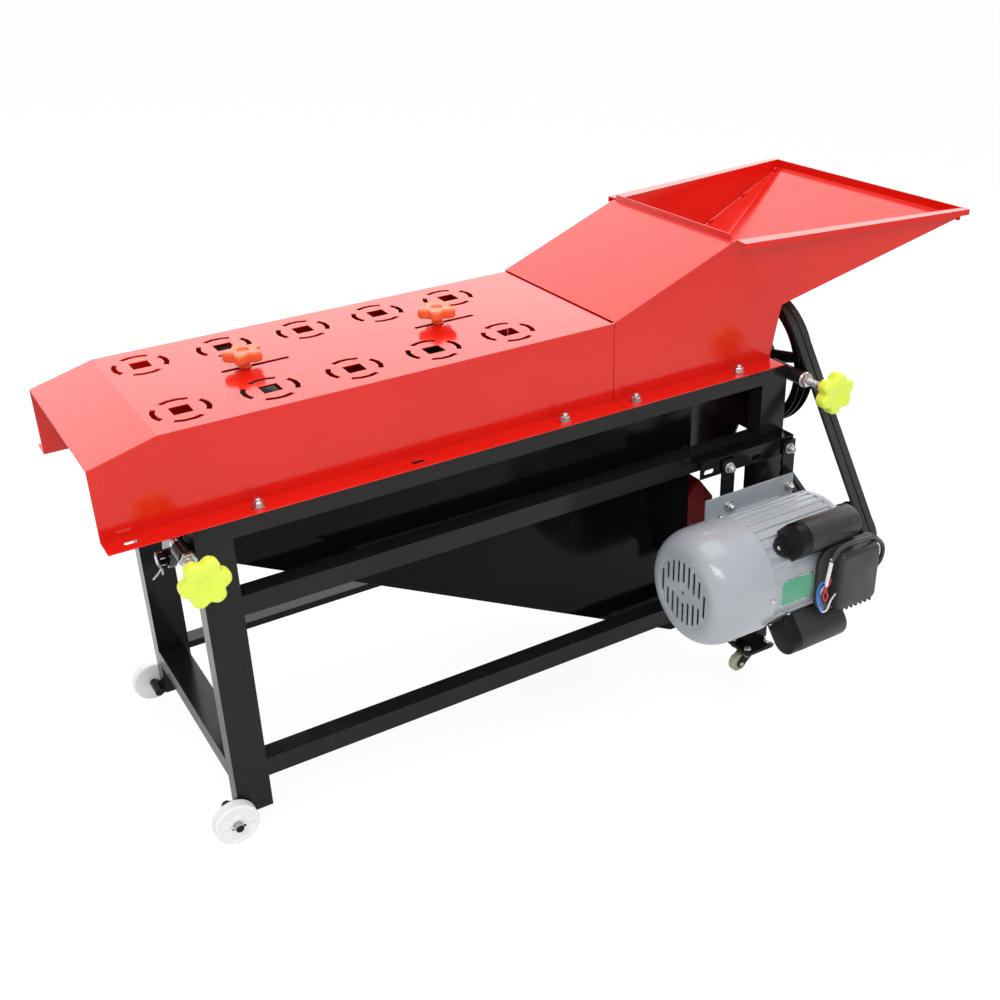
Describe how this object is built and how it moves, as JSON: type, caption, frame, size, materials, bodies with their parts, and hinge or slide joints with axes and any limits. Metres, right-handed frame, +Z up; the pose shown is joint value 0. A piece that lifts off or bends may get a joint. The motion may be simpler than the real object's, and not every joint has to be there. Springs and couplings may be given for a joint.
{
  "type": "corn husker",
  "caption": "Motor-driven corn husker: a feed hopper and red cover over a deck of turning rollers, on a black steel frame with wheels.",
  "frame": {"origin": "centre of the footprint at floor level", "axes": "+X along the machine towards the feed hopper, -Y the motor side, +Z up"},
  "size_m": [1.3994, 0.6672, 0.8038],
  "materials": {
    "red_paint": "glossy",
    "black_paint": "glossy",
    "dark_red_paint": "satin",
    "zinc_steel": "satin",
    "roller_rubber": "matte",
    "roller_steel": "satin",
    "belt_rubber": "matte",
    "yellow_plastic": "glossy",
    "orange_plastic": "glossy",
    "white_nylon": "satin",
    "cream_plastic": "satin",
    "motor_paint": "glossy",
    "black_plastic": "satin",
    "cable_sheath": "matte"
  },
  "bodies": {
    "machine": {"capacitor_lower": "black_plastic", "capacitor_upper": "black_plastic", "caster_plate_back": "black_paint", "caster_plate_front": "black_paint", "cover_sheet": "red_paint", "drive_belt_inner": "belt_rubber", "drive_belt_outer": "belt_rubber", "end_plate_left": "black_paint", "end_plate_right": "black_paint", "end_rail_left": "black_paint", "end_rail_right": "black_paint", "fan_cover": "motor_paint", "frame_back": "black_paint", "frame_front": "black_paint", "hanger_bracket": "black_paint", "hanger_strap_left": "black_paint", "hanger_strap_right": "black_paint", "hopper_floor": "red_paint", "hopper_lid": "red_paint", "hopper_side_back": "red_paint", "hopper_side_front": "red_paint", "husk_chute": "black_paint", "husk_outlet_hood": "dark_red_paint", "motor_body": "motor_paint", "motor_cable": "cable_sheath", "motor_foot": "motor_paint", "side_panel_back": "black_paint", "side_panel_front": "black_paint", "terminal_box": "black_plastic"},
    "roller_arms": {"swing_arm_left": "black_paint", "swing_arm_right": "black_paint"},
    "first_roller": {"roller_1": "roller_rubber", "roller_gear_1": "roller_steel"},
    "driven_roller": {"roller_2": "roller_steel", "roller_gear_2": "roller_steel", "drive_pulley": "black_paint"},
    "third_roller": {"roller_3": "roller_rubber", "roller_gear_3": "roller_steel"},
    "fourth_roller": {"roller_4": "roller_steel", "roller_gear_4": "roller_steel"},
    "fifth_roller": {"roller_5": "roller_rubber", "roller_gear_5": "roller_steel"},
    "sixth_roller": {"roller_6": "roller_steel", "roller_gear_6": "roller_steel"},
    "rotor": {"motor_rotor": "roller_steel", "motor_pulley": "black_paint"},
    "pad_left": {"thrust_pad_left": "roller_steel"},
    "screw_left": {"screw_knob_left": "yellow_plastic"},
    "curtain_left": {"press_curtain_left": "roller_rubber"},
    "clamp_knob_left": {"slide_knob_left": "orange_plastic"},
    "pad_right": {"thrust_pad_right": "roller_steel"},
    "screw_right": {"screw_knob_right": "yellow_plastic"},
    "curtain_right": {"press_curtain_right": "roller_rubber"},
    "clamp_knob_right": {"slide_knob_right": "orange_plastic"},
    "transport_wheel_front": {"wheel_front": "white_nylon"},
    "fork_front": {"caster_fork_front": "black_paint"},
    "small_wheel_front": {"caster_wheel_front": "cream_plastic"},
    "transport_wheel_back": {"wheel_back": "white_nylon"},
    "fork_back": {"caster_fork_back": "black_paint"},
    "small_wheel_back": {"caster_wheel_back": "cream_plastic"}
  },
  "joints": [
    {"name": "arm_swing", "type": "hinge", "parent": "machine", "child": "roller_arms", "pos_m": [-0.09134, 0.00576, 0.45472], "axis": [0.9965, 0, 0.0831], "range_deg": [0, 7.5]},
    {"name": "roller_1_spin", "type": "hinge", "parent": "roller_arms", "child": "first_roller", "pos_m": [-0.09508, -0.01424, 0.49957], "axis": [0.9965, 0, 0.0831], "continuous": true},
    {"name": "roller_2_spin", "type": "hinge", "parent": "machine", "child": "driven_roller", "pos_m": [-0.09508, 0.03176, 0.49957], "axis": [0.9965, 0, 0.0831], "continuous": true},
    {"name": "roller_3_spin", "type": "hinge", "parent": "machine", "child": "third_roller", "pos_m": [-0.09508, 0.07776, 0.49957], "axis": [0.9965, 0, 0.0831], "continuous": true},
    {"name": "roller_4_spin", "type": "hinge", "parent": "machine", "child": "fourth_roller", "pos_m": [-0.09508, 0.12376, 0.49957], "axis": [0.9965, 0, 0.0831], "continuous": true},
    {"name": "roller_5_spin", "type": "hinge", "parent": "machine", "child": "fifth_roller", "pos_m": [-0.09508, 0.16976, 0.49957], "axis": [0.9965, 0, 0.0831], "continuous": true},
    {"name": "roller_6_spin", "type": "hinge", "parent": "machine", "child": "sixth_roller", "pos_m": [-0.09508, 0.21576, 0.49957], "axis": [0.9965, 0, 0.0831], "continuous": true},
    {"name": "rotor_spin", "type": "hinge", "parent": "machine", "child": "rotor", "pos_m": [0.29292, -0.21024, 0.29912], "axis": [0.9965, 0, 0.0831], "continuous": true},
    {"name": "pad_travel_left", "type": "slide", "parent": "machine", "child": "pad_left", "axis": [0, -1, 0], "range_m": [0, 0.00573]},
    {"name": "screw_turn_left", "type": "hinge", "parent": "pad_left", "child": "screw_left", "pos_m": [-0.59498, -0.09924, 0.45586], "axis": [0, -1, 0], "range_deg": [0, 1160]},
    {"name": "pad_travel_right", "type": "slide", "parent": "machine", "child": "pad_right", "axis": [0, -1, 0], "range_m": [0, 0.00756]},
    {"name": "screw_turn_right", "type": "hinge", "parent": "pad_right", "child": "screw_right", "pos_m": [0.40398, -0.09924, 0.55324], "axis": [0, -1, 0], "range_deg": [0, 1537]},
    {"name": "curtain_shift_left", "type": "slide", "parent": "machine", "child": "curtain_left", "axis": [0.9965, 0, 0.0831], "range_m": [-0.0299, 0.0604]},
    {"name": "clamp_turn_left", "type": "hinge", "parent": "curtain_left", "child": "clamp_knob_left", "pos_m": [-0.44156, 0.10076, 0.63524], "axis": [-0.0831, 0, 0.9965], "range_deg": [0, 360]},
    {"name": "curtain_shift_right", "type": "slide", "parent": "machine", "child": "curtain_right", "axis": [0.9965, 0, 0.0831], "range_m": [-0.0339, 0.0564]},
    {"name": "clamp_turn_right", "type": "hinge", "parent": "curtain_right", "child": "clamp_knob_right", "pos_m": [-0.1426, 0.10076, 0.66017], "axis": [-0.0831, 0, 0.9965], "range_deg": [0, 360]},
    {"name": "transport_wheel_spin_front", "type": "hinge", "parent": "machine", "child": "transport_wheel_front", "pos_m": [-0.55836, -0.09924, 0.03244], "axis": [0, 1, 0], "continuous": true},
    {"name": "caster_swivel_front", "type": "hinge", "parent": "machine", "child": "fork_front", "pos_m": [0.39916, -0.08624, 0.04809], "axis": [-0.0831, 0, 0.9965], "continuous": true},
    {"name": "small_wheel_spin_front", "type": "hinge", "parent": "fork_front", "child": "small_wheel_front", "pos_m": [0.37466, -0.08624, 0.01694], "axis": [0, 1, 0], "continuous": true},
    {"name": "transport_wheel_spin_back", "type": "hinge", "parent": "machine", "child": "transport_wheel_back", "pos_m": [-0.55836, 0.30076, 0.03244], "axis": [0, 1, 0], "continuous": true},
    {"name": "caster_swivel_back", "type": "hinge", "parent": "machine", "child": "fork_back", "pos_m": [0.39916, 0.28776, 0.04809], "axis": [-0.0831, 0, 0.9965], "continuous": true},
    {"name": "small_wheel_spin_back", "type": "hinge", "parent": "fork_back", "child": "small_wheel_back", "pos_m": [0.37466, 0.28776, 0.01694], "axis": [0, 1, 0], "continuous": true}
  ],
  "couplings": [
    {"joint": "roller_1_spin", "follows": "roller_2_spin", "ratio": -1},
    {"joint": "roller_3_spin", "follows": "roller_2_spin", "ratio": -1},
    {"joint": "roller_4_spin", "follows": "roller_2_spin", "ratio": 1},
    {"joint": "roller_5_spin", "follows": "roller_2_spin", "ratio": -1},
    {"joint": "roller_6_spin", "follows": "roller_2_spin", "ratio": 1},
    {"joint": "rotor_spin", "follows": "roller_2_spin", "ratio": 2.4375},
    {"joint": "pad_travel_left", "follows": "arm_swing", "m_per_rad": 0.043},
    {"joint": "screw_turn_left", "follows": "arm_swing", "ratio": 154.39},
    {"joint": "pad_travel_right", "follows": "arm_swing", "m_per_rad": 0.057},
    {"joint": "screw_turn_right", "follows": "arm_swing", "ratio": 204.65}
  ]
}
